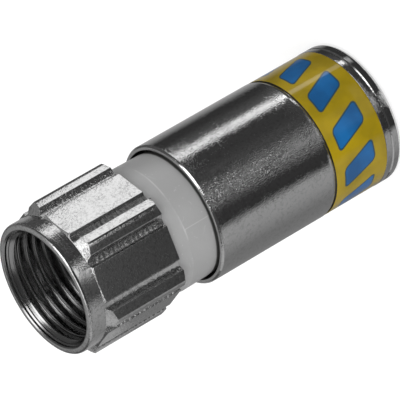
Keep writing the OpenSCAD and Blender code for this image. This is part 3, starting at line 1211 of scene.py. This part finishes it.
def glow_piece(name, points, faces, levels):
    """A stage mesh that is seen only in reflections, with its brightness in an attribute."""
    piece = mesh_object(name, points, faces)
    write_numbers(piece, "level", levels)
    give(piece, card_glow)
    piece.visible_camera = piece.visible_diffuse = piece.visible_shadow = piece.visible_transmission = False
    print(f"{name}: {len(faces)} faces")


def fan(name, near, far, stops):
    """A fan of card from (wall angle in degrees, brightness) stops, near to far in millimetres."""
    lift = Vector((0, 0, card_lift))
    points, levels, faces = [], [], []
    for (wall_a, level_a), (wall_b, level_b) in zip(stops, stops[1:]):
        steps = max(1, round((wall_b - wall_a) / fan_step))
        for k in range(steps + 1):
            wall = radians(wall_a + (wall_b - wall_a) * k / steps)
            foot = Vector((cos(camera_side + wall), sin(camera_side + wall), 0)) * sleeve_r
            way = Vector((cos(camera_side + 2 * wall), sin(camera_side + 2 * wall), 0))
            points += [foot + way * near + lift, foot + way * far + lift]
            levels += [level_a + (level_b - level_a) * k / steps] * 2
            if k:
                n = len(points)
                faces.append((n - 4, n - 3, n - 1, n - 2))
    glow_piece(name, points, faces, levels)


# %% Brightness of each fan, by wall angle
grey_side = ((-89, 0.26), (-56, 0.25), (-48, 0.33), (-40, 0.42), (-30, 0.45), (-25, 0.045), (-17, 0.05))
far_side = ((65, 0.045), (67, 0.15), (72, 0.31), (80, 0.42), (89, 0.52))
thin_streak = ((22, 0.055), (35.5, 0.08), (36.5, 1.6), (39.5, 1.6), (40.5, 0.12), (56, 0.05))
film_streak = tuple((wall, level * 1.5) for wall, level in thin_streak)
wide_streak = (
    (22, 0.055), (31, 0.06), (33, 0.10), (35, 0.8), (36.5, 1.25), (40.5, 1.25),
    (42, 0.5), (44, 0.13), (48, 0.10), (56, 0.05),
)
edge_glint = ((-12, 0.05), (-9, 0.4), (-4, 0.8), (2, 0.7), (4, 0.05), (56, 0.05))
end_streak = ((33, 0.05), (36, 0.5), (40, 0.5), (42, 0.05), (56, 0.05))
rim_stripes = ((-10, 0.05), (-8, 0.6), (-6, 0.3), (-4, 0.9), (-2, 0.4), (0, 0.9), (2, 0.3), (4, 0.06))
bevel_glint = ((-12, 0.06), (-7, 0.45), (14, 0.45), (20, 0.06))
film_glint = ((-12, 0.06), (-7, 0.35), (4, 0.3), (9, 0.06))
grain_stripes = (
    (-14, 0.05), (-12.5, 0.16), (-11, 0.05), (-9.5, 0.26), (-8, 0.04), (-6.5, 0.42), (-5, 0.03),
    (-3.5, 0.6), (-2, 0.03), (-0.5, 0.6), (1, 0.03), (2.5, 0.48), (4, 0.03), (5.5, 0.28), (7, 0.04),
    (8.5, 0.16), (10, 0.06), (13, 0.10), (16, 0.07),
)
nut_view = (
    (-89, 0.36), (-82, 0.21), (-70, 0.21), (-60, 0.31), (-46, 0.42), (-38, 0.52), (-32, 0.52),
    (-27, 0.07), (-14, 0.075), (-6, 0.06), (16, 0.06), (20, 0.28), (24, 0.16), (28, 0.30), (32, 0.4),
    (35, 1.35), (49, 1.35), (51, 0.12), (65, 0.1), (68, 0.12), (72, 0.33), (89, 0.45),
)
collar_view = (
    (-89, 0.44), (-72, 0.36), (-64, 0.31), (-48, 0.38), (-40, 0.41), (-31, 0.38), (-26, 0.09), (-16, 0.12),
    (-12, 0.17), (-8, 0.42), (-4, 0.95), (2, 1.15), (4, 0.3), (6, 0.07), (26, 0.07), (31, 0.1), (35, 0.25),
    (36.5, 1.35), (43, 1.35), (44.5, 0.15), (48, 0.1), (65, 0.09), (72, 0.35), (80, 0.42), (89, 0.5),
)

# %% Lay the floor cards
fan("rim_edge_cards", 0.2, 0.6, grey_side + edge_glint + far_side)
fan("rim_end_cards", 0.6, 1.75, grey_side + end_streak + far_side)
fan("rim_cards", 1.75, 2.85, grey_side + rim_stripes + thin_streak + far_side)
fan("bevel_cards", 2.85, 4.3, grey_side + bevel_glint + thin_streak + far_side)
fan("film_cards", 4.3, 12.8, grey_side + film_glint + film_streak + far_side)
fan("sleeve_cards", 12.8, 36.0, grey_side + grain_stripes + wide_streak + far_side)
fan("nut_cards", 36.0, 53.8, nut_view)
fan("collar_cards", 53.8, 400.0, collar_view)

# %% Dome over the room
dome_r = 500.0
dome_level, dome_front, dome_back = 0.11, 0.05, 0.4
around, upward = 48, 12


def in_room(toward_part, aside_part, up_part):
    """A direction given by its parts toward the camera, aside and up, as a unit vector."""
    return (toward * toward_part + aside * aside_part + Vector((0, 0, up_part))).normalized()


rear_way, glow_from = in_room(-0.6, 0.1, 0.8), 0.8
points, levels, faces = [], [], []
for i in range(upward + 1):
    rise = radians(90 * i / upward)
    for j in range(around):
        turn = 2 * pi * j / around
        way = Vector((cos(rise) * cos(turn), cos(rise) * sin(turn), sin(rise)))
        points.append(way * dome_r)
        behind = max(0.0, way.dot(rear_way) - glow_from) / (1 - glow_from)
        ahead = max(0.0, way.dot(toward))
        levels.append(dome_level + (dome_front - dome_level) * ahead + dome_back * behind)
        if i:
            a, b = i * around + j, i * around + (j + 1) % around
            faces.append((a - around, b - around, b, a))
glow_piece("room_dome", points, faces, levels)

# %% Windows in the dome
window_cells, window_fade = 8, 0.25
window_r, ceiling_r = 450.0, 470.0


def window(name, middle, wide, tall, level, distance=window_r):
    """A soft window inside the dome, brightest at its middle; wide (aside) and tall are in degrees."""
    side_way = (aside - middle * aside.dot(middle)).normalized() * tan(radians(wide / 2))
    up_way = middle.cross(side_way.normalized()) * tan(radians(tall / 2))
    points, levels, faces = [], [], []
    for i in range(window_cells + 1):
        for j in range(window_cells + 1):
            a, b = 2 * i / window_cells - 1, 2 * j / window_cells - 1
            points.append((middle + side_way * a + up_way * b).normalized() * distance)
            levels.append(level * (1 - window_fade * (a * a + b * b) / 2))
            if i and j:
                n = len(points) - 1
                faces.append((n, n - 1, n - window_cells - 2, n - window_cells - 1))
    glow_piece(name, points, faces, levels)


window("ceiling", in_room(-0.25, 0.05, 0.96), 84, 50, 0.38, ceiling_r)
window("window_top", in_room(-0.12, 0.0, 0.99), 44, 24, 1.9)
window("window_left", in_room(0.36, 0.38, 0.85), 30, 30, 3.2)
window("window_side", in_room(-0.12, -0.88, 0.42), 34, 60, 0.6)
window("window_right", in_room(-0.41, -0.53, 0.74), 24, 24, 0.62)
window("window_back", in_room(-0.71, 0.52, 0.48), 22, 22, 0.28)

# %% Finish with the Standard view transform
bpy.context.scene.view_settings.view_transform = "Standard"
